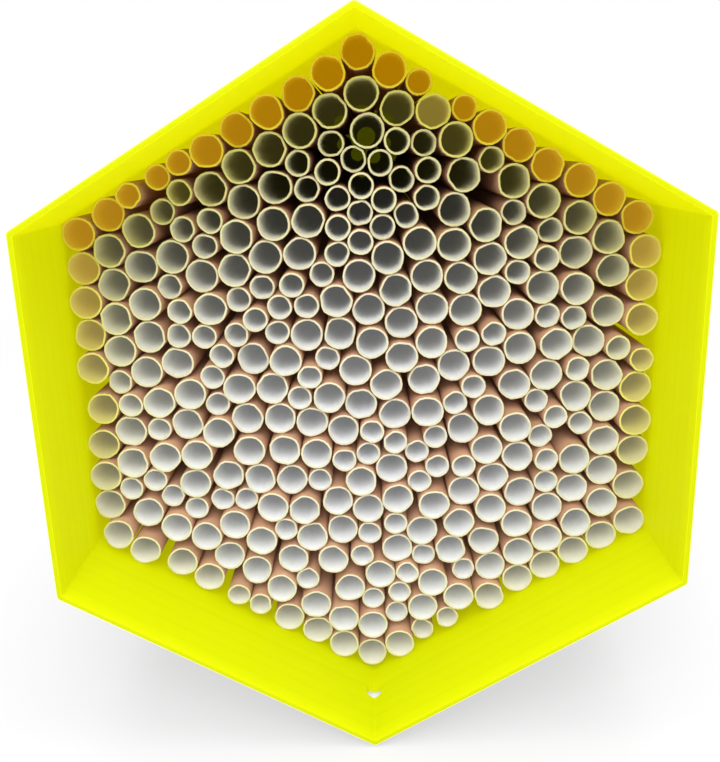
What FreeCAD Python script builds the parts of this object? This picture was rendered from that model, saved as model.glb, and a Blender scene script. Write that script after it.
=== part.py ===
import FreeCAD, Part
import math
import os

# Insect hotel: a hexagonal housing printed in one piece, standing on one
# corner, open at the front and closed at the back, and stuffed with rolled
# paper tubes of two sizes that lie front to back.  Bees nest in the tubes.
#
# Lengths are in millimetres.  +Z is up and the front faces -Y.  The origin
# is the middle of the housing's back face, which rests flat on the wall.

# Housing
ACROSS_FLATS = 166.0        # outside, between two opposite walls
WALL = 1.6                  # side walls
BACK_THICKNESS = 3.0        # closed back
PORCH_DEPTH = 30.0          # from the front rim back to the tube mouths
DRAIN_DIAMETER = 5.0        # rain drain through the lowest corner
DRAIN_FROM_FRONT = 21.0
SCREW_DIAMETER = 4.5        # hole in the back for the screw it hangs on
SCREW_HEIGHT = 0.0          # above the middle of the back

# Paper tubes
TUBE_LENGTH = 150.0
PAPER_WALL = 0.6
LARGE_TUBE = 9.0            # outside diameter
SMALL_TUBE = 6.8            # outside diameter
CLEARANCE = 0.3             # between a tube and whatever lies beside it
MOUTH_SPREAD = 2.5          # the mouths are not quite level with each other

# How the tubes lie, one upright stack after another from left to right, each
# from the bottom up.  L is a large tube and s a small one.  < or > leans the
# next tube to the left or right of its stack, and a dot lifts it a little.
STACKS = [
    ">LLLL.<L..LL<LLL",
    "L.>L.<sLL>s<s<L<LL<L.L",
    ">L.>L.>s<s>LsL<LL<L.LL.<s",
    ">L..>L.sL>LL>L<Lss<sL>s<s>s<s>s",
    ">s..L.>Ls>L..L.ss>s<sL<Ls>s>L>L",
    ".s.L.>L...<s>LLL<L>L<s>ssLL>L>L>L",
    "L.<L>L.s<L>L>LL<L>L>s>s<sL>L>L>L>L",
    "LL<s...L<L.>s>LL<s>s..>L>s<sL>L>ss>L>L",
    "LL>L.<LLL..>s.>L.<L.<s>L>L<s>s>s>ss>s>L>L",
    ".LLs>L<ssL<Ls>sL<L>L>LLsss<s>L>L>L",
    "L.ss>sLsL<LsL<L>L>LL<L<s<s>s<s>s>L>L",
    "<s<L>L.s<L>L<s>s<s>sL<L>L>LL<L<s>ss>s>L",
    "<sL>s<LL>L>s.>L.<s>s<L>s>LLL<L>LL>s",
    ">L>LL.>L>LL..L.L>s..>LLL....sL",
    ">L>L.L>L.LL.L.LL.sL<s<LL",
    ">L>L>L.ss<s>s<sL>Ls<L<ss<L<L",
    "L>L.LL.>sLs>L<s<L<LLL",
    "L.LLLLL>s.L.L<L<L",
    "L.L.LLL>s..LLL<L",
]
LIFT = 2.0                  # one dot
LEAN = 2.5                  # one < or >
SQUEEZE = 6.0               # how far a stack may start above the top
REPEAT_ROOM = 3.0           # room to spare before a pattern is run again
SETTLE_STEPS = 600

# Sizes that follow from the ones above
INSIDE_FLATS = ACROSS_FLATS - 2.0 * WALL
DEPTH = BACK_THICKNESS + TUBE_LENGTH + CLEARANCE + PORCH_DEPTH
COS30 = math.cos(math.radians(30.0))
TAN30 = math.tan(math.radians(30.0))


def hexagon_prism(across_flats, y_front, y_back):
    """A prism along Y whose hexagon has one corner straight up."""
    radius = across_flats / 2.0 / COS30
    corners = []
    for i in range(7):
        angle = math.radians(90.0 + 60.0 * i)
        x = radius * math.cos(angle)
        z = radius * math.sin(angle)
        corners.append(FreeCAD.Vector(x, y_front, z))
    face = Part.Face(Part.makePolygon(corners))
    return face.extrude(FreeCAD.Vector(0, y_back - y_front, 0))


def housing():
    """The hexagonal housing, with its screw hole and its drain hole."""
    shell = hexagon_prism(ACROSS_FLATS, -DEPTH, 0.0)
    hollow = hexagon_prism(INSIDE_FLATS, -DEPTH - 1.0, -BACK_THICKNESS)
    shell = shell.cut(hollow)
    screw_start = FreeCAD.Vector(0, -BACK_THICKNESS - 1.0, SCREW_HEIGHT)
    along_y = FreeCAD.Vector(0, 1, 0)
    screw = Part.makeCylinder(
        SCREW_DIAMETER / 2.0, BACK_THICKNESS + 2.0, screw_start, along_y)
    shell = shell.cut(screw)
    lowest = -ACROSS_FLATS / 2.0 / COS30
    drain_start = FreeCAD.Vector(0, -DEPTH + DRAIN_FROM_FRONT, lowest - 5.0)
    drain = Part.makeCylinder(
        DRAIN_DIAMETER / 2.0, 15.0, drain_start, FreeCAD.Vector(0, 0, 1))
    return shell.cut(drain)


def half_span():
    """How far from the middle the outermost stacks stand."""
    return INSIDE_FLATS / 2.0 - LARGE_TUBE / 2.0 - CLEARANCE


class Tube:
    """One paper tube: where its centre is and its size."""

    def __init__(self, x, z, large):
        self.x = x
        self.z = z
        self.large = large
        self.outside = LARGE_TUBE if large else SMALL_TUBE
        # Half of the clearance belongs to each of two neighbours.
        self.reach = (self.outside + CLEARANCE) / 2.0

    def family(self):
        """The tube's size, and the stack whose line it is nearest to."""
        share = (self.x + half_span()) / (2.0 * half_span())
        share = min(max(share, 0.0), 1.0)
        stack = int(math.floor(share * (len(STACKS) - 1) + 0.5)) + 1
        return ("large" if self.large else "small", stack)


def half_height(x):
    """Half the height of the inside of the housing at a distance x."""
    return INSIDE_FLATS / 2.0 / COS30 - abs(x) * TAN30


def lay_stack(number, count):
    """The tubes of one stack, laid from the bottom wall up to the top."""
    pattern = STACKS[number * len(STACKS) // count]
    line = half_span() * (2.0 * number / (count - 1) - 1.0)
    top = half_height(line)
    laid = []
    below = None
    x = line
    lift = 0.0
    # The first run through the pattern may end a little too high, since the
    # tubes settle; it is repeated only as long as there is clear room.
    room = SQUEEZE
    while True:
        for mark in pattern:
            if mark == ".":
                lift += LIFT
            elif mark == "<":
                x = line - LEAN
            elif mark == ">":
                x = line + LEAN
            else:
                tube = Tube(x, 0.0, mark == "L")
                if below is None:
                    tube.z = -top + tube.reach / COS30
                else:
                    gap = tube.reach + below.reach
                    rise = gap ** 2 - (tube.x - below.x) ** 2
                    tube.z = below.z + math.sqrt(max(rise, 0.09 * gap ** 2))
                tube.z += lift
                if tube.z + tube.reach / COS30 > top + room:
                    return spread(laid, top)
                laid.append(tube)
                below = tube
                x = line
                lift = 0.0
        room = -REPEAT_ROOM


def spread(laid, top):
    """Share the free height of a stack evenly between its tubes."""
    free = top - laid[-1].reach / COS30 - laid[-1].z
    if free > 0.0 and len(laid) > 1:
        for i, tube in enumerate(laid):
            tube.z += free * i / (len(laid) - 1)
    return laid


def near_pairs(tubes, margin):
    """Pairs of tubes close enough to touch within the next few steps."""
    cell = LARGE_TUBE + CLEARANCE + margin
    grid = {}
    for i, tube in enumerate(tubes):
        key = (math.floor(tube.x / cell), math.floor(tube.z / cell))
        grid.setdefault(key, []).append(i)
    pairs = []
    for (column, row), members in grid.items():
        for i in members:
            for dx in (-1, 0, 1):
                for dz in (-1, 0, 1):
                    for j in grid.get((column + dx, row + dz), []):
                        if j > i:
                            pairs.append((tubes[i], tubes[j]))
    return pairs


def push_apart(pairs):
    """Move each overlapping pair of tubes apart."""
    for a, b in pairs:
        dx = b.x - a.x
        dz = b.z - a.z
        reach = a.reach + b.reach
        apart = dx * dx + dz * dz
        if apart < reach * reach:
            apart = math.sqrt(apart) or 0.001
            share = 0.5 * (reach - apart) / apart
            a.x -= share * dx
            a.z -= share * dz
            b.x += share * dx
            b.z += share * dz


def keep_inside(tubes):
    """Move every tube that is in a side wall back inside the housing."""
    limit = INSIDE_FLATS / 2.0 - CLEARANCE / 2.0
    for i in range(6):
        nx = math.cos(math.radians(60.0 * i))
        nz = math.sin(math.radians(60.0 * i))
        for tube in tubes:
            over = tube.x * nx + tube.z * nz + tube.reach - limit
            if over > 0.0:
                tube.x -= over * nx
                tube.z -= over * nz


def overlapping(tubes):
    """The pairs of tubes that still overlap each other."""
    bad = []
    for a, b in near_pairs(tubes, 0.0):
        apart = math.hypot(b.x - a.x, b.z - a.z)
        if a.reach + b.reach - apart > 0.05:
            bad.append((a, b))
    return bad


def leave_out(tubes, bad):
    """Leave out one tube of every third pair that has no room."""
    for a, b in bad[:1 + len(bad) // 3]:
        if a in tubes and b in tubes:
            # The one with more like it in its stack goes.
            like_a = sum(1 for tube in tubes if tube.family() == a.family())
            like_b = sum(1 for tube in tubes if tube.family() == b.family())
            tubes.remove(a if like_a > like_b else b)


def settle(tubes):
    """Let the tubes make room for each other inside the housing."""
    for step in range(SETTLE_STEPS):
        if step % 10 == 0:
            pairs = near_pairs(tubes, 1.5)
        push_apart(pairs)
        keep_inside(tubes)


def nearest(tube, tubes):
    """The closest other tube, and the free gap between the two."""
    best = None
    gap = 1000.0
    for other in tubes:
        if other is not tube:
            apart = math.hypot(other.x - tube.x, other.z - tube.z)
            free = apart - (tube.outside + other.outside) / 2.0
            if free < gap:
                best = other
                gap = free
    return best, gap


def close_up(tubes):
    """Bring every loose tube up against the one closest to it."""
    for tube in tubes:
        other, gap = nearest(tube, tubes)
        if gap > 2.0 * CLEARANCE:
            apart = math.hypot(other.x - tube.x, other.z - tube.z)
            share = (gap - CLEARANCE) / apart
            tube.x += share * (other.x - tube.x)
            tube.z += share * (other.z - tube.z)


def packed_tubes():
    """All the tubes in the housing, each in its own free place."""
    pitch = 0.899 * (LARGE_TUBE + CLEARANCE)
    count = max(2, int(round(2.0 * half_span() / pitch)) + 1)
    tubes = []
    for number in range(count):
        tubes += lay_stack(number, count)
    settle(tubes)
    bad = overlapping(tubes)
    while bad:
        # A tube with no room is left out, and the rest make room again.
        leave_out(tubes, bad)
        settle(tubes)
        bad = overlapping(tubes)
    for i in range(3):
        close_up(tubes)
        settle(tubes)
    return tubes


def tube_shape(tube, index):
    """One rolled paper tube, an open pipe along Y."""
    back = -BACK_THICKNESS - CLEARANCE
    # Each tube is cut a little short, in a different amount from the next.
    short = MOUTH_SPREAD * ((index * 0.618034) % 1.0)
    start = FreeCAD.Vector(tube.x, back, tube.z)
    forward = FreeCAD.Vector(0, -1, 0)
    length = TUBE_LENGTH - short
    bore = tube.outside - 2.0 * PAPER_WALL
    outer = Part.makeCylinder(tube.outside / 2.0, length, start, forward)
    inner = Part.makeCylinder(bore / 2.0, length, start, forward)
    return outer.cut(inner)


def nodes(tubes):
    """The tubes of every node, with their numbers, under the node's name."""
    families = {}
    for index, tube in enumerate(tubes):
        name = "%s_tubes_stack_%02d" % tube.family()
        families.setdefault(name, []).append((index, tube))
    result = {}
    for name, members in families.items():
        if name.startswith("small"):
            result[name] = members
        else:
            # The many large tubes of a stack make a lower and an upper half.
            members.sort(key=lambda member: member[1].z)
            half = (len(members) + 1) // 2
            result[name + "_lower"] = members[:half]
            result[name + "_upper"] = members[half:]
    return result


def export(name, shape):
    """Write one piece to its own file."""
    shape.exportStep("parts/" + name + ".step")


def main():
    os.makedirs("parts", exist_ok=True)
    export("hexagon_housing", housing())
    for name, members in sorted(nodes(packed_tubes()).items()):
        shapes = [tube_shape(tube, index) for index, tube in members]
        export(name, Part.makeCompound(shapes))


main()
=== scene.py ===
"""Insect hotel: the looks of a printed hexagonal housing full of rolled paper tubes."""
import math

import bmesh
import bpy
import numpy as np
from bpy.props import FloatProperty, FloatVectorProperty, IntProperty, PointerProperty
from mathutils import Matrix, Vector


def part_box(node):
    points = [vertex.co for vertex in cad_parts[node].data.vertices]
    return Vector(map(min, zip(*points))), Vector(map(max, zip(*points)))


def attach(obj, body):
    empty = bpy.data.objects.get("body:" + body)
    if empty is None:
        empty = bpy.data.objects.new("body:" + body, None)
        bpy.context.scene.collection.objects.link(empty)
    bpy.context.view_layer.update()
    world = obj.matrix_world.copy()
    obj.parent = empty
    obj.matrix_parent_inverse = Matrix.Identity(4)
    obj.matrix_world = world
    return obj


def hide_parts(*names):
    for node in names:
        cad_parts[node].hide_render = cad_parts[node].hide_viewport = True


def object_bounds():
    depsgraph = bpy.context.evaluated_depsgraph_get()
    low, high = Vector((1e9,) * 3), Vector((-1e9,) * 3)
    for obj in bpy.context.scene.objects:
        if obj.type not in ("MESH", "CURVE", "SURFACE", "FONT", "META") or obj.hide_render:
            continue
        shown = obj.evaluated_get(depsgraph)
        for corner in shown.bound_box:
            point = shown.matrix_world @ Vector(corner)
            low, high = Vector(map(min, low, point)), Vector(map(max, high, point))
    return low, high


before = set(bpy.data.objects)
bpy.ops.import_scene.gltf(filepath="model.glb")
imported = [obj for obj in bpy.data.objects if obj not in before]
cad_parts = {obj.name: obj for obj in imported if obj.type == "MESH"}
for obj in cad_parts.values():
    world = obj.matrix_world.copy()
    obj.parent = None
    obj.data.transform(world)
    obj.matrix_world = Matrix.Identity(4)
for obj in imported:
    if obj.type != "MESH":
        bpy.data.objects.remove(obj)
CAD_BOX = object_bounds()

bl_info = {
    "name": "Insect Hotel",
    "version": (1, 0, 0),
    "blender": (4, 5, 0),
    "location": "View3D > Sidebar > Insect Hotel",
    "description": "Builds a hexagonal insect hotel filled with rolled paper tubes",
    "category": "Object",
}

HOUSING_NODE = "hexagon_housing"
TUBE_NODES = sorted(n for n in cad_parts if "_tubes_stack_" in n)

# Depth over which the walls turn from thin to solid towards the back, in metres.
BACK_FADE = 0.02
# How thin the back and the rim count: this sets both the light that comes through and the painted
# glow.
LEAST_THIN = 0.22
RIM_THIN = 0.7
# Pale colour of the painted highlight along the rim's outer edge.
RIM_HIGHLIGHT_COLOUR = (0.90, 0.93, 0.42)

# What the outside skin sends to the things around it.
BOUNCE_GREY = (0.45, 0.45, 0.45)
BOUNCE_THROUGH_GREY = (0.03, 0.03, 0.03)
BLACK = (0.0, 0.0, 0.0)

# A tube's outline never comes nearer to its neighbour than this beyond its radius.
LARGEST_SWELL = 0.00014
LARGE_RADIUS = 0.0045
NICK_SHARE = 0.3

# How the walls' painted light falls off in the tubes: near the wall, and a small part that goes
# deep.
NEAR_PART = 0.75
DEEP_PART = 0.25
DEEP_REACH = 0.022
FULL_GLOW_GAP = 0.002


# --- Sizes and colours -------------------------------------------------------

class HotelHousing(bpy.types.PropertyGroup):
    """Sizes and colours of the printed housing."""

    wall: FloatProperty(
        name="Wall", description="Thickness of the six side walls",
        default=0.0016, unit="LENGTH")
    back: FloatProperty(
        name="Back", description="Thickness of the closed back",
        default=0.003, unit="LENGTH")
    corner: FloatProperty(
        name="Corner Radius", description="Rounding of the six long corners",
        default=0.0012, unit="LENGTH")
    rim: FloatProperty(
        name="Rim Rounding", description="Rounding of the front rim's two edges",
        default=0.00035, unit="LENGTH")
    drain_radius: FloatProperty(
        name="Drain Radius", description="Radius of the drain through the lowest corner",
        default=0.0025, unit="LENGTH")
    drain_from_front: FloatProperty(
        name="Drain From Front", description="Distance of the drain from the rim",
        default=0.021, unit="LENGTH")
    screw_radius: FloatProperty(
        name="Screw Hole Radius", description="Radius of the hole through the back",
        default=0.00225, unit="LENGTH")
    layer: FloatProperty(
        name="Printed Layer", description="Height of one printed layer",
        default=0.0004, unit="LENGTH")
    colour: FloatVectorProperty(
        name="Colour", description="Fluorescent yellow of the plastic",
        default=(0.52, 0.62, 0.0), size=3, subtype="COLOR", min=0.0, max=1.0)
    light_through: FloatVectorProperty(
        name="Light Through", description="Colour of the light that comes through a wall",
        default=(1.0, 0.92, 0.02), size=3, subtype="COLOR", min=0.0, max=1.0)


class HotelTubes(bpy.types.PropertyGroup):
    """Sizes and colours of the rolled paper tubes."""

    paper: FloatProperty(
        name="Paper Wall", description="Thickness of the rolled paper",
        default=0.0006, unit="LENGTH")
    swell: FloatProperty(
        name="Swell", description="How much the real tube fills the space around it",
        default=0.00012, unit="LENGTH")
    wobble: FloatProperty(
        name="Wobble", description="How far a tube is out of round",
        default=0.00038, unit="LENGTH")
    seam: FloatProperty(
        name="Seam Step", description="Height of the step where the roll ends",
        default=0.00016, unit="LENGTH")
    around: IntProperty(
        name="Points Around", description="Points around a tube", default=18)
    kraft: FloatVectorProperty(
        name="Kraft", description="Brown outside of the paper",
        default=(0.54, 0.31, 0.19), size=3, subtype="COLOR", min=0.0, max=1.0)
    edge: FloatVectorProperty(
        name="Cut Edge", description="Cream colour of the cut edge",
        default=(0.82, 0.78, 0.60), size=3, subtype="COLOR", min=0.0, max=1.0)
    lining: FloatVectorProperty(
        name="Lining", description="White paper inside the tube",
        default=(0.80, 0.82, 0.83), size=3, subtype="COLOR", min=0.0, max=1.0)
    amber: FloatVectorProperty(
        name="Amber", description="Colour of a tube lit through the yellow wall beside it",
        default=(0.60, 0.375, 0.0), size=3, subtype="COLOR", min=0.0, max=1.0)
    olive: FloatVectorProperty(
        name="Olive", description="Colour of a tube that gets a little light through a wall",
        default=(0.66, 0.61, 0.17), size=3, subtype="COLOR", min=0.0, max=1.0)
    amber_reach: FloatProperty(
        name="Amber Reach", description="How far the light from a wall reaches",
        default=0.0025, unit="LENGTH")


class HotelStage(bpy.types.PropertyGroup):
    """Floor, lights and camera."""

    floor_colour: FloatVectorProperty(
        name="Floor", description="Colour of the plain floor",
        default=(0.27, 0.27, 0.27), size=3, subtype="COLOR", min=0.0, max=1.0)
    lens: FloatProperty(
        name="Lens", description="Focal length of the camera, in millimetres",
        default=39.68)


# --- Helpers -----------------------------------------------------------------

def make_mesh(name, points, faces, smooth=True):
    """Put an array of points and lists of faces into a new mesh object."""
    mesh = bpy.data.meshes.new(name)
    mesh.from_pydata(points.tolist(), [], faces)
    mesh.polygons.foreach_set("use_smooth", [smooth] * len(mesh.polygons))
    mesh.update()
    thing = bpy.data.objects.new(name, mesh)
    bpy.context.scene.collection.objects.link(thing)
    return thing


def grid_faces(rows, columns, closed_rows=False):
    """Quads between neighbouring points of a grid that closes around its columns."""
    r = np.arange(rows if closed_rows else rows - 1)[:, None]
    c = np.arange(columns)[None, :]
    down = (r + 1) % rows
    right = (c + 1) % columns
    quads = np.stack(
        [r * columns + c, r * columns + right, down * columns + right, down * columns + c], -1)
    return quads.reshape(-1, 4)


def rounded_hexagon(apothem, radius, steps=5):
    """Points of a hexagon with one corner up and its corners rounded.

    Each corner is an arc of the given radius whose centre lies on the corner's
    own ray, at (apothem - radius) / cos 30 from the middle; the straight sides
    follow from joining one arc to the next.
    """
    corner = np.radians(90.0 + 60.0 * np.arange(6))[:, None]
    turn = np.radians(np.linspace(-30.0, 30.0, steps))[None, :]
    middle = (apothem - radius) / math.cos(math.radians(30.0))
    x = middle * np.cos(corner) + radius * np.cos(corner + turn)
    z = middle * np.sin(corner) + radius * np.sin(corner + turn)
    return np.stack([x.ravel(), z.ravel()], 1)


def islands(thing):
    """The separate closed shells of a node, as arrays of their own points.

    Points at the same place count as one.  Every point starts with its own
    number, and each triangle hands its smallest number to all its corners
    until nothing changes, so a shell ends with one number.
    """
    mesh = thing.data
    co = np.zeros(len(mesh.vertices) * 3, np.float32)
    mesh.vertices.foreach_get("co", co)
    co = co.reshape(-1, 3)
    mesh.calc_loop_triangles()
    tri = np.zeros(len(mesh.loop_triangles) * 3, np.int32)
    mesh.loop_triangles.foreach_get("vertices", tri)
    keys, same = np.unique(np.round(co * 1e6).astype(np.int64), axis=0, return_inverse=True)
    tri = same.ravel()[tri].reshape(-1, 3)
    label = np.arange(len(keys))
    while True:
        low = label[tri].min(1)
        new = label.copy()
        for corner in range(3):
            np.minimum.at(new, tri[:, corner], low)
        if (new == label).all():
            break
        label = new
    points = keys / 1e6
    return [points[label == n] for n in np.unique(label)]


# --- Shader groups and materials ----------------------------------------------

def new_group(name, inputs, outputs):
    """A shader node group with named inputs and outputs."""
    tree = bpy.data.node_groups.new(name, "ShaderNodeTree")
    for label, kind, value in inputs:
        socket = tree.interface.new_socket(label, in_out="INPUT", socket_type=kind)
        if value is not None:
            socket.default_value = value
    for label, kind in outputs:
        tree.interface.new_socket(label, in_out="OUTPUT", socket_type=kind)
    return tree, tree.nodes.new("NodeGroupInput"), tree.nodes.new("NodeGroupOutput")


def math_node(tree, kind, a, b=None):
    """A Math node fed with sockets or numbers."""
    node = tree.nodes.new("ShaderNodeMath")
    node.operation = kind
    for socket, value in zip(node.inputs, (a, b)):
        if value is None:
            continue
        if isinstance(value, (int, float)):
            socket.default_value = value
        else:
            tree.links.new(value, socket)
    return node.outputs[0]


def mottle_group():
    """Soft patches and fine speckle, for plastic and paper alike."""
    tree, gin, gout = new_group(
        "Mottle",
        [("Position", "NodeSocketVector", None), ("Patch Scale", "NodeSocketFloat", 60.0),
         ("Speckle Scale", "NodeSocketFloat", 1500.0)],
        [("Patches", "NodeSocketFloat"), ("Speckle", "NodeSocketFloat")])
    for scale, out in (("Patch Scale", "Patches"), ("Speckle Scale", "Speckle")):
        noise = tree.nodes.new("ShaderNodeTexNoise")
        noise.inputs["Detail"].default_value = 3.0
        tree.links.new(gin.outputs["Position"], noise.inputs["Vector"])
        tree.links.new(gin.outputs[scale], noise.inputs["Scale"])
        tree.links.new(noise.outputs["Fac"], gout.inputs[out])
    return tree


def layer_lines_group():
    """Printed layers: a soft ridge for every layer along the depth, a little uneven."""
    tree, gin, gout = new_group(
        "Printed Layers",
        [("Position", "NodeSocketVector", None), ("Layer", "NodeSocketFloat", 0.0004)],
        [("Height", "NodeSocketFloat"), ("Bands", "NodeSocketFloat")])
    split = tree.nodes.new("ShaderNodeSeparateXYZ")
    tree.links.new(gin.outputs["Position"], split.inputs[0])
    turns = math_node(tree, "DIVIDE", split.outputs["Y"], gin.outputs["Layer"])
    wave = math_node(tree, "SINE", math_node(tree, "MULTIPLY", turns, 2.0 * math.pi))
    # Bands: broad uneven stripes where several layers lie a little proud.
    stripe = tree.nodes.new("ShaderNodeTexNoise")
    stripe.noise_dimensions = "1D"
    stripe.inputs["Scale"].default_value = 1.0
    stripe.inputs["Detail"].default_value = 4.0
    tree.links.new(math_node(tree, "MULTIPLY", split.outputs["Y"], 420.0), stripe.inputs["W"])
    tree.links.new(math_node(tree, "MULTIPLY", wave, 0.5), gout.inputs["Height"])
    tree.links.new(stripe.outputs["Fac"], gout.inputs["Bands"])
    return tree


def new_material(name):
    """An empty material with its output node."""
    material = bpy.data.materials.new(name)
    material.use_nodes = True
    tree = material.node_tree
    tree.nodes.clear()
    return material, tree, tree.nodes.new("ShaderNodeOutputMaterial")


def place_group(tree, group, **values):
    """Place a node group and set its inputs."""
    node = tree.nodes.new("ShaderNodeGroup")
    node.node_tree = group
    for label, value in values.items():
        node.inputs[label.replace("_", " ")].default_value = value
    return node


def colour_mix(tree, factor, a, b):
    """Mix two colours by a factor; each may be a socket or a plain colour."""
    node = tree.nodes.new("ShaderNodeMix")
    node.data_type = "RGBA"
    for socket, value in ((node.inputs[0], factor), (node.inputs[6], a), (node.inputs[7], b)):
        if isinstance(value, (int, float)):
            socket.default_value = value
        elif isinstance(value, (tuple, list)):
            socket.default_value = (*value[:3], 1.0)
        else:
            tree.links.new(value, socket)
    return node.outputs[2]


def attribute(tree, name):
    """The value that a point of the piece carries under a name."""
    node = tree.nodes.new("ShaderNodeAttribute")
    node.attribute_name = name
    return node.outputs["Fac"]


def front_side(tree):
    """One on the side of a face that points outwards, and zero on the other."""
    geometry = tree.nodes.new("ShaderNodeNewGeometry")
    return math_node(tree, "SUBTRACT", 1.0, geometry.outputs["Backfacing"])


def neutral_bounce(tree):
    """One where the outside skin lights the things around it, else zero.

    The floor's shadow is plain grey, so what the outside sends on is grey too.
    """
    path = tree.nodes.new("ShaderNodeLightPath")
    return math_node(tree, "MULTIPLY", path.outputs["Is Diffuse Ray"], front_side(tree))


def yellow_plastic(props, name, outside):
    """Fluorescent translucent plastic with printed layers, and a painted glow where its walls are
    thin.
    """
    material, tree, out = new_material(name)
    coords = tree.nodes.new("ShaderNodeTexCoord")
    layers = place_group(
        tree, bpy.data.node_groups.get("Printed Layers") or layer_lines_group(),
        Layer=props.layer)
    mottle = place_group(tree, bpy.data.node_groups.get("Mottle") or mottle_group())
    tree.links.new(coords.outputs["Object"], layers.inputs["Position"])
    tree.links.new(coords.outputs["Object"], mottle.inputs["Position"])
    base = tuple(props.colour)
    deep = (base[0] * 0.84, base[1] * 0.82, 0.0)
    shade = math_node(tree, "ADD", math_node(tree, "MULTIPLY", layers.outputs["Bands"], 0.7),
                      math_node(tree, "MULTIPLY", mottle.outputs["Patches"], 0.3))
    colour = colour_mix(tree, shade, deep, base)
    # Painted highlight: the rim's outer edge, marked by the edge value, is paler.
    colour = colour_mix(tree, attribute(tree, "edge"), colour, RIM_HIGHLIGHT_COLOUR)
    # Painted glow: the plastic gives off light of its own colour where its walls are thin, in
    # place of light coming through them.
    glowing = attribute(tree, "thin")
    if outside:
        # Painted glow: seen from outside the whole skin glows much alike.
        skin = math_node(tree, "MULTIPLY", front_side(tree), 0.8)
        glowing = math_node(tree, "MAXIMUM", glowing, skin)
    glow = colour_mix(tree, glowing, BLACK, colour)
    through_colour = colour_mix(
        tree, attribute(tree, "thin"), (0.02, 0.02, 0.0), tuple(props.light_through))
    if outside:
        grey = neutral_bounce(tree)
        colour = colour_mix(tree, grey, colour, BOUNCE_GREY)
        glow = colour_mix(tree, grey, glow, BLACK)
        through_colour = colour_mix(tree, grey, through_colour, BOUNCE_THROUGH_GREY)
    bump = tree.nodes.new("ShaderNodeBump")
    bump.inputs["Strength"].default_value = 0.35
    bump.inputs["Distance"].default_value = 0.00012
    height = math_node(tree, "ADD", layers.outputs["Height"],
                       math_node(tree, "MULTIPLY", layers.outputs["Bands"], 1.4))
    tree.links.new(height, bump.inputs["Height"])
    surface = tree.nodes.new("ShaderNodeBsdfPrincipled")
    surface.inputs["Roughness"].default_value = 0.5
    surface.inputs["Specular IOR Level"].default_value = 0.1
    surface.inputs["Emission Strength"].default_value = 0.42
    tree.links.new(colour, surface.inputs["Base Color"])
    tree.links.new(glow, surface.inputs["Emission Color"])
    tree.links.new(bump.outputs[0], surface.inputs["Normal"])
    through = tree.nodes.new("ShaderNodeBsdfTranslucent")
    tree.links.new(through_colour, through.inputs["Color"])
    mix = tree.nodes.new("ShaderNodeMixShader")
    mix.inputs[0].default_value = 0.42
    tree.links.new(surface.outputs[0], mix.inputs[1])
    tree.links.new(through.outputs[0], mix.inputs[2])
    tree.links.new(mix.outputs[0], out.inputs["Surface"])
    return material


def paper(name, colour, tints, reach, light, rough, speckle, glow_strength, daylight=BLACK):
    """Rolled paper: fibres and patches, with some light coming through.

    A tube beside a wall carries an amber value, by which the light that comes
    through the yellow wall and the brown paper is painted on: a painted tint and
    a painted glow, olive where the value is low, and amber where it is high.  The
    reach says how soon the tint is complete as the value grows, and is zero for
    none.
    """
    material, tree, out = new_material(name)
    coords = tree.nodes.new("ShaderNodeTexCoord")
    mottle = place_group(tree, bpy.data.node_groups.get("Mottle") or mottle_group())
    tree.links.new(coords.outputs["Object"], mottle.inputs["Position"])
    dark = tuple(c * (1.0 - speckle) for c in colour)
    shade = math_node(tree, "ADD", math_node(tree, "MULTIPLY", mottle.outputs["Patches"], 0.3),
                      math_node(tree, "MULTIPLY", mottle.outputs["Speckle"], 0.3))
    own_shade = math_node(tree, "MULTIPLY", attribute(tree, "shade"), 0.5)
    shade = math_node(tree, "ADD", shade, own_shade)
    plain = colour_mix(tree, shade, dark, colour)
    # Painted light: the amber value paints a warm tint and a glow on the paper.
    value = attribute(tree, "amber")
    warm = colour_mix(tree, math_node(tree, "POWER", value, 2.8), tints[0], tints[1])
    amount = tree.nodes.new("ShaderNodeMath")
    amount.operation = "MULTIPLY"
    amount.use_clamp = True
    amount.inputs[1].default_value = reach
    tree.links.new(value, amount.inputs[0])
    tint = colour_mix(tree, amount.outputs[0], plain, warm)
    bump = tree.nodes.new("ShaderNodeBump")
    bump.inputs["Strength"].default_value = 0.25
    bump.inputs["Distance"].default_value = 0.00005
    tree.links.new(mottle.outputs["Speckle"], bump.inputs["Height"])
    surface = tree.nodes.new("ShaderNodeBsdfPrincipled")
    surface.inputs["Roughness"].default_value = rough
    surface.inputs["Specular IOR Level"].default_value = 0.3
    surface.inputs["Emission Strength"].default_value = glow_strength
    tree.links.new(tint, surface.inputs["Base Color"])
    # Painted daylight: the lower and middle tubes glow evenly, in place of daylight from the
    # porch floor.
    day = colour_mix(tree, attribute(tree, "day"), BLACK, daylight)
    glow = math_node(tree, "POWER", math_node(tree, "MULTIPLY", value, 1.25), 2.2)
    tree.links.new(colour_mix(tree, glow, day, warm), surface.inputs["Emission Color"])
    tree.links.new(bump.outputs[0], surface.inputs["Normal"])
    through = tree.nodes.new("ShaderNodeBsdfTranslucent")
    tree.links.new(colour_mix(tree, amount.outputs[0], colour, warm), through.inputs["Color"])
    mix = tree.nodes.new("ShaderNodeMixShader")
    mix.inputs[0].default_value = light
    tree.links.new(surface.outputs[0], mix.inputs[1])
    tree.links.new(through.outputs[0], mix.inputs[2])
    tree.links.new(mix.outputs[0], out.inputs["Surface"])
    return material


# --- The housing ---------------------------------------------------------------

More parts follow.
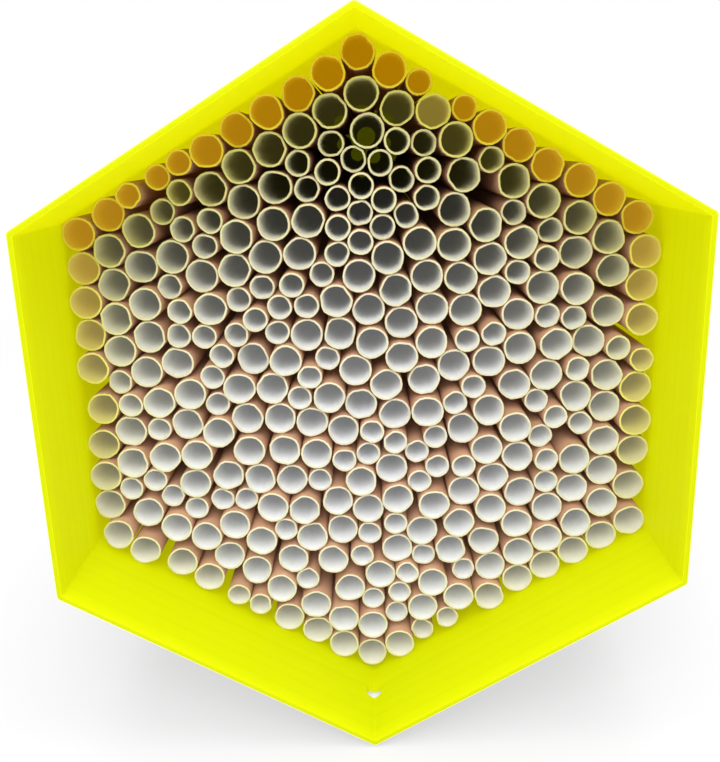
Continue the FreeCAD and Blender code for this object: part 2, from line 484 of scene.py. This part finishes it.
def housing_surface(props):
    """The housing as one closed skin: a rounded hexagon carried along a profile.

    The profile runs from the middle of the back's outside, out to the side
    wall, forward to the rim, over the rim and back down the inside to the
    middle of the back's inside.  Each step is a pair of apothem and depth; the
    hexagon of that apothem is placed at that depth.
    """
    low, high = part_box(HOUSING_NODE)
    front, rear = low.y, high.y
    outside = (high.x - low.x) / 2.0
    inside = outside - props.wall
    inner_back = rear - props.back
    r = props.rim
    steps = [(outside * 0.06, rear), (outside * 0.5, rear), (outside - 0.001, rear),
             (outside - 0.0003, rear - 0.0001), (outside, rear - 0.0007)]
    steps += [(outside, y) for y in np.linspace(rear - 0.006, front + 0.006, 8)]
    steps += [(outside, front + 2.0 * r), (outside, front + r),
              (outside - 0.3 * r, front + 0.3 * r), (outside - r, front),
              (inside + r, front), (inside + 0.3 * r, front + 0.3 * r), (inside, front + r)]
    steps += [(inside, y) for y in np.linspace(front + 0.004, inner_back - 0.003, 8)]
    steps += [(inside, inner_back), (inside * 0.5, inner_back), (outside * 0.06, inner_back)]
    rows = []
    for apothem, y in steps:
        corner = props.corner if apothem > inside - 1e-6 else 0.0006
        corner = min(corner if apothem >= outside - r else corner * 0.7, apothem * 0.4)
        ring = rounded_hexagon(apothem, corner)
        rows.append(np.column_stack([ring[:, 0], np.full(len(ring), y), ring[:, 1]]))
    points = np.concatenate(rows)
    columns = len(rows[0])
    faces = [tuple(q) for q in grid_faces(len(rows), columns)]
    # The middles of the back's outside and inside are closed by one face each.
    faces.append(tuple(range(columns))[::-1])
    faces.append(tuple(range(columns * (len(rows) - 1), columns * len(rows))))
    return points, faces


def round_cutter(name, radius, start, end, around=40):
    """A closed round bar between two points, used to cut a hole."""
    start, end = np.array(start), np.array(end)
    along = (end - start) / np.linalg.norm(end - start)
    side = np.array([1.0, 0.0, 0.0])
    up = np.cross(along, side)
    t = 2.0 * math.pi * np.arange(around) / around
    ring = radius * (np.cos(t)[:, None] * side + np.sin(t)[:, None] * up)
    points = np.concatenate([start + ring, end + ring])
    faces = [tuple(q) for q in grid_faces(2, around)]
    faces += [tuple(range(around))[::-1], tuple(range(around, 2 * around))]
    return make_mesh(name, points, faces, smooth=False)


def cut_away(thing, cutter):
    """Cut one object out of another for good, and remove the cutter."""
    modifier = thing.modifiers.new("Cut", "BOOLEAN")
    modifier.operation = "DIFFERENCE"
    modifier.solver = "EXACT"
    modifier.object = cutter
    graph = bpy.context.evaluated_depsgraph_get()
    mesh = bpy.data.meshes.new_from_object(thing.evaluated_get(graph))
    thing.modifiers.remove(modifier)
    old = thing.data
    thing.data = mesh
    bpy.data.meshes.remove(old)
    bpy.data.objects.remove(cutter)


def make_outward(thing):
    """Turn every face of a closed mesh outwards."""
    work = bmesh.new()
    work.from_mesh(thing.data)
    bmesh.ops.remove_doubles(work, verts=work.verts, dist=1e-7)
    bmesh.ops.recalc_face_normals(work, faces=work.faces)
    work.to_mesh(thing.data)
    work.free()


def hexagon_reach(x, z):
    """How far a point is from the axis, measured square to the nearest wall."""
    angles = np.radians(60.0 * np.arange(6))
    return (x[:, None] * np.cos(angles) + z[:, None] * np.sin(angles)).max(1)


def mark_outside(housing, low, high, props):
    """Give the outer faces the outside material, and every point its values.

    A point of the side walls is thin, so light comes through and it carries a
    painted glow; the back, which is almost twice as thick, and the solid rim let
    less through and carry less painted glow, so they are painted darker.
    """
    mesh = housing.data
    centre = np.zeros(len(mesh.polygons) * 3)
    mesh.polygons.foreach_get("center", centre)
    centre = centre.reshape(-1, 3)
    outer = hexagon_reach(centre[:, 0], centre[:, 2]) > high.x - 0.0003
    outer |= centre[:, 1] > high.y - 0.0005
    mesh.polygons.foreach_set("material_index", outer.astype(np.int32))
    points = np.zeros(len(mesh.vertices) * 3)
    mesh.vertices.foreach_get("co", points)
    points = points.reshape(-1, 3)
    # Fully thin from 20 mm in front of the back, and least so at the back itself: less light
    # through and less painted glow.
    thin = np.clip((high.y - props.back - points[:, 1]) / BACK_FADE, LEAST_THIN, 1.0)
    # The rim lets less light through and carries less painted glow, so its face is painted a
    # little darker.
    thin[points[:, 1] < low.y + 0.1 * props.rim] = RIM_THIN
    # Painted highlight: the outer edge of the rim is paler, on the two rings of its rounding.
    reach = hexagon_reach(points[:, 0], points[:, 2])
    edge = (reach > high.x - 0.8 * props.rim) & (points[:, 1] < low.y + 1.2 * props.rim)
    for name, values in (("thin", thin), ("edge", edge)):
        mesh.attributes.new(name, "FLOAT", "POINT").data.foreach_set(
            "value", values.astype(np.float32))


class HOTEL_OT_housing(bpy.types.Operator):
    """Build the printed housing with its rounded rim, drain and screw hole"""

    bl_idname = "hotel.housing"
    bl_label = "Build Housing"

    def execute(self, context):
        props = context.scene.hotel_housing
        low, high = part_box(HOUSING_NODE)
        points, faces = housing_surface(props)
        housing = make_mesh("printed_housing", points, faces)
        make_outward(housing)
        y = low.y + props.drain_from_front
        drain = round_cutter("drain_cut", props.drain_radius,
                             (0, y, low.z - 0.003), (0, y, low.z + 0.012))
        make_outward(drain)
        cut_away(housing, drain)
        screw = round_cutter("screw_cut", props.screw_radius,
                             (0, high.y - 0.006, 0), (0, high.y + 0.003, 0))
        make_outward(screw)
        cut_away(housing, screw)
        housing.data.polygons.foreach_set("use_smooth", [True] * len(housing.data.polygons))
        housing.data.set_sharp_from_angle(angle=math.radians(40.0))
        housing.data.materials.clear()
        housing.data.materials.append(yellow_plastic(props, "Fluorescent Yellow Plastic", False))
        housing.data.materials.append(yellow_plastic(props, "Yellow Plastic Outside", True))
        mark_outside(housing, low, high, props)
        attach(housing, "housing")
        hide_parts(HOUSING_NODE)
        return {"FINISHED"}


# --- The tubes -------------------------------------------------------------------

def tube_points(props, rng, x, z, radius, front, back):
    """Points of one rolled tube, as seven rings around its axis.

    The outline is the tube's radius plus two low waves around it, which make
    it slightly oval and slightly polygonal, flattened where the waves would
    press into the neighbours, plus a spiral step: the radius falls evenly all
    the way round by the step's height, and jumps back at the seam.  The rings
    run from the back along the outside to the mouth, over the cut edge, and
    back down the bore, which follows the same outline less the paper's wall.
    """
    n = props.around
    t = 2.0 * math.pi * np.arange(n) / n
    turn, oval, poly = rng.uniform(0.0, 2.0 * math.pi, 3)
    size = rng.uniform(0.25, 1.0)
    wave = 0.7 * np.cos(2.0 * (t - oval)) + 0.6 * np.cos(rng.integers(3, 7) * (t - poly))
    outline = radius + props.swell + props.wobble * size * wave * radius / LARGE_RADIUS
    outline = np.minimum(outline, radius + LARGEST_SWELL)
    around = ((t - turn) / (2.0 * math.pi)) % 1.0
    outline = outline + props.seam * (0.25 - 0.5 * around)
    tilt = rng.normal(0.0, 0.00018, 2)
    lean = np.abs(tilt[0] * np.cos(t) + tilt[1] * np.sin(t))
    # Some mouths have a small nick where the roll ends.
    nick = rng.uniform(0.3, 1.1) * 0.001 * (rng.random() < NICK_SHARE)
    lean = lean + nick * np.clip(1.0 - around * 9.0, 0.0, 1.0)
    steps = [(0.0, back, 0.0), (0.0, front + 0.0001, 1.0), (0.2, front, 1.0),
             (0.8, front, 1.0), (1.0, front + 0.00015, 1.0), (1.0, front + 0.012, 0.0),
             (1.0, back, 0.0)]
    rings = []
    for share, y, at_mouth in steps:
        r = outline - share * props.paper
        rings.append(np.stack([x + r * np.cos(t), y + at_mouth * lean, z + r * np.sin(t)], 1))
    return np.concatenate(rings)


def amber_value(props, x, z, radius):
    """How strongly the nearest walls light a tube from outside, from 0 to 1, which sets its
    painted amber tint and glow.

    Each wall's part falls off exponentially with its distance from the tube,
    and a small share of it reaches several tubes deep.  The two upper walls
    face the light above, the upright ones get less of it towards the bottom,
    and the two lower ones very little.
    """
    low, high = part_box(HOUSING_NODE)
    inside = (high.x - low.x) / 2.0 - 0.0016
    value = 0.0
    upright = min(max(0.44 + 0.42 * z / 0.05, 0.10), 0.85)
    upper = 1.0 - 0.07 * min(max((0.085 - z) / 0.05, 0.0), 1.0)
    for angle, strength in ((60, upper), (120, upper), (0, upright), (180, upright),
                            (240, 0.11), (300, 0.11)):
        a = math.radians(angle)
        gap = inside - (x * math.cos(a) + z * math.sin(a)) - radius
        gap = max(gap - FULL_GLOW_GAP, 0.0)
        near = NEAR_PART * math.exp(-gap / props.amber_reach)
        deep = DEEP_PART * math.exp(-gap / DEEP_REACH)
        value = max(value, strength * (near + deep))
    return value


def tube_group(node, props, seed, materials):
    """All the rolled tubes of one node as a single piece."""
    rng = np.random.default_rng(seed)
    points, faces, kinds, amber, shade, day = [], [], [], [], [], []
    rings = 7
    for count, shell in enumerate(islands(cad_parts[node])):
        low, high = shell.min(0), shell.max(0)
        x, z = (low[0] + high[0]) / 2.0, (low[2] + high[2]) / 2.0
        radius = (high[0] - low[0]) / 2.0
        one = tube_points(props, rng, x, z, radius, low[1], high[1])
        quads = grid_faces(rings, props.around, closed_rows=True) + count * len(one)
        points.append(one)
        faces.append(quads[:, ::-1])
        # Outside, three strips of cut edge, two strips of bore, and the back end.
        kinds.append(np.repeat([0, 1, 1, 1, 2, 2, 1], props.around))
        # Painted light: how much amber tint and glow the walls paint on this tube.
        amber.append(np.full(len(one), amber_value(props, x, z, radius)))
        shade.append(np.full(len(one), rng.random()))
        # Painted daylight: full for tubes whose middle lies below 5 mm height, fading out to none
        # by 55 mm.
        day.append(np.full(len(one), min(max((0.055 - z) / 0.05, 0.0), 1.0)))
    thing = make_mesh(node.replace("_tubes_stack_", "_rolled_tubes_"),
                      np.concatenate(points), np.concatenate(faces).tolist())
    for material in materials:
        thing.data.materials.append(material)
    thing.data.polygons.foreach_set("material_index", np.concatenate(kinds).astype(np.int32))
    for name, values in (("amber", amber), ("shade", shade), ("day", day)):
        thing.data.attributes.new(name, "FLOAT", "POINT").data.foreach_set(
            "value", np.concatenate(values).astype(np.float32))
    thing.data.set_sharp_from_angle(angle=math.radians(50.0))
    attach(thing, "stack_" + node.split("_stack_")[1][:2])
    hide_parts(node)
    return thing


class HOTEL_OT_tubes(bpy.types.Operator):
    """Roll the paper tubes of every stack"""

    bl_idname = "hotel.tubes"
    bl_label = "Build Tubes"

    def execute(self, context):
        props = context.scene.hotel_tubes
        tints = (tuple(props.olive), tuple(props.amber))
        # Brighter tints of the painted amber light, for the cut edges.
        bright = ((0.80, 0.78, 0.22), (0.90, 0.72, 0.05))
        materials = [paper("Kraft Outside", tuple(props.kraft), tints, 0.0, 0.12, 0.8, 0.25, 0.0),
                     paper("Cut Paper Edge", tuple(props.edge), bright, 2.8, 0.30, 0.75, 0.10,
                           0.10),
                     paper("White Lining", tuple(props.lining), tints, 3.0, 0.25, 0.7, 0.06, 0.45,
                           (0.19, 0.195, 0.20))]
        for number, node in enumerate(TUBE_NODES):
            tube_group(node, props, 100 + number, materials)
        return {"FINISHED"}


# --- The stage --------------------------------------------------------------------

def soft_light(name, size, energy, place, aim):
    """A square area light at a place, turned to face a point."""
    data = bpy.data.lights.new(name, "AREA")
    data.shape = "SQUARE"
    data.size = size
    data.energy = energy
    light = bpy.data.objects.new(name, data)
    light.location = place
    light.rotation_mode = "QUATERNION"
    light.rotation_quaternion = (Vector(aim) - Vector(place)).to_track_quat("-Z", "Y")
    bpy.context.scene.collection.objects.link(light)
    return light


class HOTEL_OT_stage(bpy.types.Operator):
    """Set up the pale floor, the soft lights and the camera"""

    bl_idname = "hotel.stage"
    bl_label = "Build Stage"

    def execute(self, context):
        props = context.scene.hotel_stage
        low, high = CAD_BOX
        centre = (low + high) / 2.0
        self.floor(props, low.z - 0.0003, centre)
        self.lights(centre)
        self.camera(props)
        return {"FINISHED"}

    def floor(self, props, height, centre):
        """A flat floor of even squares, a little self-lit so that it stays pale."""
        steps = np.linspace(-3.0, 3.0, 7)
        x, y = np.meshgrid(steps, steps + centre.y)
        points = np.stack([x.ravel(), y.ravel(), np.full(x.size, height)], 1)
        i = (np.arange(6)[:, None] * 7 + np.arange(6)[None, :]).ravel()
        floor = make_mesh("plain_floor", points, np.stack([i, i + 1, i + 8, i + 7], 1).tolist())
        material, tree, out = new_material("Pale Floor")
        surface = tree.nodes.new("ShaderNodeBsdfPrincipled")
        surface.inputs["Base Color"].default_value = (*props.floor_colour, 1.0)
        surface.inputs["Roughness"].default_value = 0.9
        surface.inputs["Specular IOR Level"].default_value = 0.1
        surface.inputs["Emission Color"].default_value = (1.0, 1.0, 1.0, 1.0)
        # A little self-lit, and more so far away, where the lamps don't reach.
        coords = tree.nodes.new("ShaderNodeTexCoord")
        distance = tree.nodes.new("ShaderNodeVectorMath")
        distance.operation = "LENGTH"
        tree.links.new(coords.outputs["Object"], distance.inputs[0])
        far = tree.nodes.new("ShaderNodeMapRange")
        far.interpolation_type = "SMOOTHSTEP"
        for label, value in (("From Min", 0.35), ("From Max", 1.6), ("To Min", 0.53),
                             ("To Max", 0.82)):
            far.inputs[label].default_value = value
        tree.links.new(distance.outputs["Value"], far.inputs["Value"])
        tree.links.new(far.outputs["Result"], surface.inputs["Emission Strength"])
        tree.links.new(surface.outputs[0], out.inputs["Surface"])
        floor.data.materials.append(material)

    def lights(self, centre):
        """A white surround, a large soft light above and a weaker one in front."""
        world = bpy.data.worlds.new("Soft Surround")
        bpy.context.scene.world = world
        world.use_nodes = True
        background = world.node_tree.nodes["Background"]
        background.inputs["Color"].default_value = (1.0, 1.0, 1.0, 1.0)
        background.inputs["Strength"].default_value = 1.0
        soft_light("light_above", 1.2, 14.0, (0.1, centre.y - 0.2, 1.2), centre)
        soft_light("light_front", 0.7, 11.0, (-0.05, centre.y - 1.0, 0.75), centre)

    def camera(self, props):
        """The camera, a little above the middle and looking down into the porch."""
        data = bpy.data.cameras.new("camera")
        data.lens = props.lens
        data.sensor_width = 36.0
        camera = bpy.data.objects.new("camera", data)
        camera.location = (0.00141, -0.38083, 0.0649)
        camera.rotation_euler = [math.radians(a) for a in (74.3768, 1.6691, 0.2842)]
        bpy.context.scene.collection.objects.link(camera)
        bpy.context.scene.camera = camera
        bpy.context.scene.view_settings.view_transform = "Standard"


# --- Panel and registration ----------------------------------------------------------

class HOTEL_PT_panel(bpy.types.Panel):
    """Lists the steps that build the insect hotel"""

    bl_idname = "HOTEL_PT_panel"
    bl_label = "Insect Hotel"
    bl_space_type = "VIEW_3D"
    bl_region_type = "UI"
    bl_category = "Insect Hotel"

    def draw(self, context):
        for operator in OPERATORS:
            self.layout.operator(operator.bl_idname)
        for group in ("hotel_housing", "hotel_tubes", "hotel_stage"):
            box = self.layout.box()
            props = getattr(context.scene, group)
            for key in props.__annotations__:
                box.prop(props, key)


OPERATORS = (HOTEL_OT_housing, HOTEL_OT_tubes, HOTEL_OT_stage)
CLASSES = (HotelHousing, HotelTubes, HotelStage, *OPERATORS, HOTEL_PT_panel)


def register():
    """Register the classes and hang the settings on the scene."""
    for cls in CLASSES:
        bpy.utils.register_class(cls)
    bpy.types.Scene.hotel_housing = PointerProperty(type=HotelHousing)
    bpy.types.Scene.hotel_tubes = PointerProperty(type=HotelTubes)
    bpy.types.Scene.hotel_stage = PointerProperty(type=HotelStage)


def unregister():
    """Take the settings off the scene and unregister the classes."""
    del bpy.types.Scene.hotel_stage
    del bpy.types.Scene.hotel_tubes
    del bpy.types.Scene.hotel_housing
    for cls in reversed(CLASSES):
        bpy.utils.unregister_class(cls)


def main():
    """Build every piece and the stage."""
    register()
    bpy.ops.hotel.housing()
    bpy.ops.hotel.tubes()
    bpy.ops.hotel.stage()


if __name__ == "__main__":
    main()
